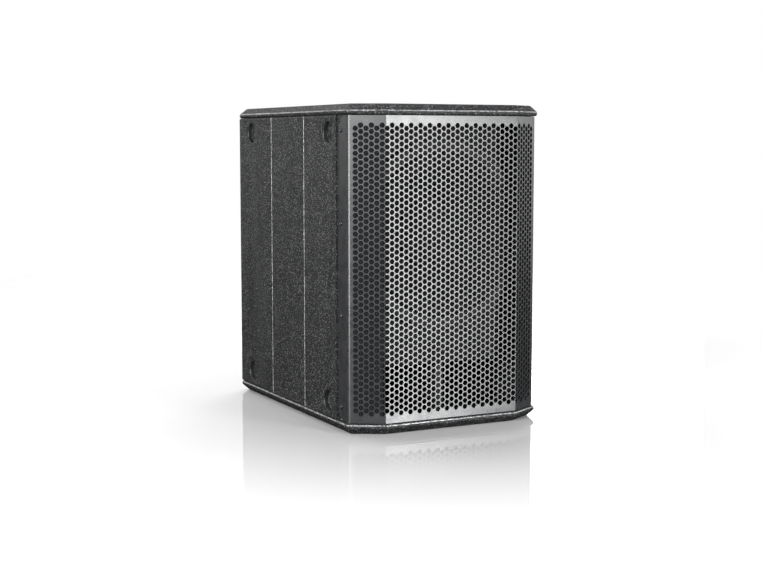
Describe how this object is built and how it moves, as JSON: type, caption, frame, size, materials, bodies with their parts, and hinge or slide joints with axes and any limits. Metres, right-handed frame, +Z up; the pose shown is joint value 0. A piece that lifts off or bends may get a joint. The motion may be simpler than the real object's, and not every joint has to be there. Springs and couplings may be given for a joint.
{
  "type": "subwoofer cabinet",
  "caption": "Powered subwoofer cabinet with chamfered end plates, a folded perforated grille, a cone driver over a slot port, stacking cups and feet, and a rear amplifier.",
  "frame": {"origin": "centre of the bottom plate's lower face, on which the cabinet stands", "axes": "+X to the right seen from the front, +Y from the grille to the amplifier panel, +Z up"},
  "size_m": [0.37, 0.504, 0.54],
  "materials": {
    "texture_paint": "coarse speckled texture paint over birch plywood",
    "baffle_paint": "matt dark grey paint over plywood",
    "birch_ply": "bare birch plywood",
    "damping_foam": "open-cell acoustic foam",
    "grille_paint": "satin dark grey powder coat on perforated steel",
    "screw_steel": "black zinc",
    "cup_plastic": "smooth moulded black plastic",
    "foot_rubber": "moulded black rubber",
    "handle_plastic": "fine-grained moulded black plastic",
    "basket_paint": "black powder coat on die-cast alloy",
    "gasket_rubber": "matt black foam rubber",
    "surround_cloth": "doped cloth",
    "spider_cloth": "resin-dipped woven cloth",
    "cone_paper": "pressed dark paper pulp",
    "coil_copper": "copper winding on a former",
    "motor_steel": "zinc-plated steel",
    "magnet_ferrite": "sintered ferrite",
    "panel_paint": "matt black powder coat on aluminium",
    "heat_sink_alloy": "black anodised extrusion",
    "circuit_board": "green solder mask with components",
    "jack_plastic": "moulded black plastic",
    "tab_steel": "nickel-plated steel",
    "control_plastic": "moulded dark grey plastic"
  },
  "bodies": {
    "cabinet": {"top_panel": "texture_paint", "bottom_panel": "texture_paint", "left_side_panel": "texture_paint", "right_side_panel": "texture_paint", "back_panel": "texture_paint", "front_baffle": "baffle_paint", "port_shelf": "baffle_paint", "port_divider": "baffle_paint", "window_brace": "birch_ply", "damping_pad_left": "damping_foam", "damping_pad_right": "damping_foam", "grille": "grille_paint", "grille_screw_left_1": "screw_steel", "grille_screw_left_2": "screw_steel", "grille_screw_left_3": "screw_steel", "grille_screw_left_4": "screw_steel", "grille_screw_right_1": "screw_steel", "grille_screw_right_2": "screw_steel", "grille_screw_right_3": "screw_steel", "grille_screw_right_4": "screw_steel", "stacking_cup_front_lower": "cup_plastic", "stacking_cup_rear_lower": "cup_plastic", "stacking_cup_front_upper": "cup_plastic", "stacking_cup_rear_upper": "cup_plastic", "stacking_foot_front_lower": "foot_rubber", "stacking_foot_rear_lower": "foot_rubber", "stacking_foot_front_upper": "foot_rubber", "stacking_foot_rear_upper": "foot_rubber", "top_handle": "handle_plastic", "driver_basket": "basket_paint", "driver_gasket": "gasket_rubber", "surround": "surround_cloth", "spider": "spider_cloth", "motor_front_plate": "motor_steel", "motor_back_plate": "motor_steel", "magnet_ring": "magnet_ferrite", "amp_panel": "panel_paint", "heat_sink": "heat_sink_alloy", "amplifier_board": "circuit_board", "power_supply_board": "circuit_board", "control_board": "circuit_board", "input_left": "jack_plastic", "input_right": "jack_plastic", "link_output_left": "jack_plastic", "link_output_right": "jack_plastic", "mains_inlet": "jack_plastic", "power_switch_frame": "jack_plastic"},
    "cone_assembly": {"cone": "cone_paper", "dust_cap": "cone_paper", "voice_coil": "coil_copper"},
    "level_knob": {"level_knob": "control_plastic"},
    "delay_knob": {"delay_knob": "control_plastic"},
    "polarity_button": {"polarity_button": "control_plastic"},
    "mode_button": {"mode_button": "control_plastic"},
    "power_rocker": {"power_rocker": "control_plastic"},
    "release_tab_left": {"release_tab_left": "tab_steel"},
    "release_tab_right": {"release_tab_right": "tab_steel"}
  },
  "joints": [
    {"name": "cone_stroke", "type": "slide", "parent": "cabinet", "child": "cone_assembly", "axis": [0, 1, 0], "range_m": [-0.008, 0.008], "stiffness_N_per_m": 5000, "deforming": ["surround", "spider"]},
    {"name": "level_knob_turn", "type": "hinge", "parent": "cabinet", "child": "level_knob", "pos_m": [0.084, 0.237, 0.268], "axis": [0, 1, 0], "range_deg": [-145, 145]},
    {"name": "delay_knob_turn", "type": "hinge", "parent": "cabinet", "child": "delay_knob", "pos_m": [0.036, 0.237, 0.268], "axis": [0, 1, 0], "range_deg": [-145, 145]},
    {"name": "polarity_button_press", "type": "slide", "parent": "cabinet", "child": "polarity_button", "axis": [0, -1, 0], "range_m": [0, 0.003], "stiffness_N_per_m": 400},
    {"name": "mode_button_press", "type": "slide", "parent": "cabinet", "child": "mode_button", "axis": [0, -1, 0], "range_m": [0, 0.003], "stiffness_N_per_m": 400},
    {"name": "power_rocker_tip", "type": "hinge", "parent": "cabinet", "child": "power_rocker", "pos_m": [0.01, 0.231, 0.162], "axis": [1, 0, 0], "range_deg": [0, 16]},
    {"name": "release_tab_left_press", "type": "slide", "parent": "cabinet", "child": "release_tab_left", "axis": [0, -1, 0], "range_m": [0, 0.0015], "stiffness_N_per_m": 600},
    {"name": "release_tab_right_press", "type": "slide", "parent": "cabinet", "child": "release_tab_right", "axis": [0, -1, 0], "range_m": [0, 0.0015], "stiffness_N_per_m": 600}
  ]
}
